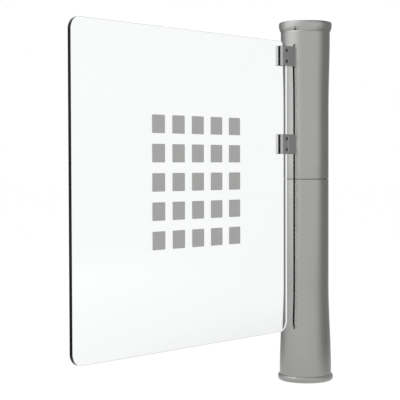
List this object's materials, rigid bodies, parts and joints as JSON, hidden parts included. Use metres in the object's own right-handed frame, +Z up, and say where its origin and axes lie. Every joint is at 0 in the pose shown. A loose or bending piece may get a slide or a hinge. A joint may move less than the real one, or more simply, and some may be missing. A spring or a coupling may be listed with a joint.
{
  "type": "pedestrian swing gate",
  "caption": "Waist-high swing gate for walkways: a round post whose driven upper half turns on a fixed inner mast and carries a frameless glass leaf in two clamps.",
  "frame": {"origin": "centre of the base plate's anchor circle, on the post's axis at floor level", "axes": "+Z up along the post; the closed leaf points along -X; its marked face looks to -Y"},
  "size_m": [0.956, 0.155, 1],
  "materials": {
    "satin_steel": "satin brushed stainless tube, vertical reflections",
    "clamp_metal": "fine matt blasted metal",
    "plate_steel": "zinc plated plate",
    "mast_steel": "galvanised tube",
    "bearing_steel": "ground and polished",
    "zinc_screw": "zinc plated screw",
    "screw_dark": "dark socket screw",
    "drive_metal": "cast housing, painted grey",
    "drive_paint": "dark powder coat",
    "seal_rubber": "black rubber",
    "sensor_plastic": "moulded blue housing",
    "board_green": "lacquered circuit board",
    "brass": "turned brass",
    "terminal_green": "moulded terminal housing",
    "relay_blue": "moulded relay housing",
    "gear_plastic": "natural acetal",
    "bush_plastic": "white nylon",
    "clear_glass": "clear toughened glass, polished edges",
    "grey_film": "matt grey film"
  },
  "bodies": {
    "column": {"base_plate": "plate_steel", "base_gussets": "plate_steel", "base_ring": "satin_steel", "column_shell": "satin_steel", "mast_tube": "mast_steel", "mast_top_plate": "plate_steel", "column_top_ring": "plate_steel", "seam_seal": "seal_rubber", "bearing_collars": "plate_steel", "lower_bearing_inner": "bearing_steel", "lower_bearing_balls": "bearing_steel", "upper_bearing_inner": "bearing_steel", "upper_bearing_balls": "bearing_steel", "gearbox_case": "drive_metal", "motor_can": "drive_paint", "brake_case": "drive_paint", "gearbox_screws": "zinc_screw", "stop_rubbers": "seal_rubber", "sensor_body": "sensor_plastic", "board_bracket": "plate_steel", "control_board": "board_green", "board_spacers": "brass", "terminal_block": "terminal_green", "relay_blocks": "relay_blue"},
    "leaf": {"head_shell": "satin_steel", "head_cap": "satin_steel", "head_ring": "plate_steel", "drive_disc": "plate_steel", "disc_screws": "zinc_screw", "output_shaft": "bearing_steel", "shaft_key": "bearing_steel", "shaft_bolt": "zinc_screw", "lower_carrier": "plate_steel", "upper_carrier": "plate_steel", "lower_bearing_outer": "bearing_steel", "upper_bearing_outer": "bearing_steel", "sensor_gear": "gear_plastic", "gear_screws": "zinc_screw", "stop_pin": "bearing_steel", "upper_clamp_body": "clamp_metal", "lower_clamp_body": "clamp_metal", "upper_clamp_jaw": "clamp_metal", "lower_clamp_jaw": "clamp_metal", "upper_clamp_gasket": "seal_rubber", "lower_clamp_gasket": "seal_rubber", "clamp_screws": "screw_dark", "saddle_screws": "zinc_screw", "glass_bushes": "bush_plastic", "glass_panel": "clear_glass", "marking_film": "grey_film"},
    "sensor_shaft": {"sensor_pinion": "bearing_steel"}
  },
  "joints": [
    {"name": "leaf_swing", "type": "hinge", "parent": "column", "child": "leaf", "pos_m": [0, 0, 0], "axis": [0, 0, 1], "range_deg": [-90, 90]},
    {"name": "sensor_spin", "type": "hinge", "parent": "column", "child": "sensor_shaft", "pos_m": [0.05015, 0, 0.5], "axis": [0, 0, 1], "range_deg": [-553, 553]}
  ],
  "couplings": [
    {"joint": "sensor_spin", "follows": "leaf_swing", "ratio": -6.1429}
  ]
}
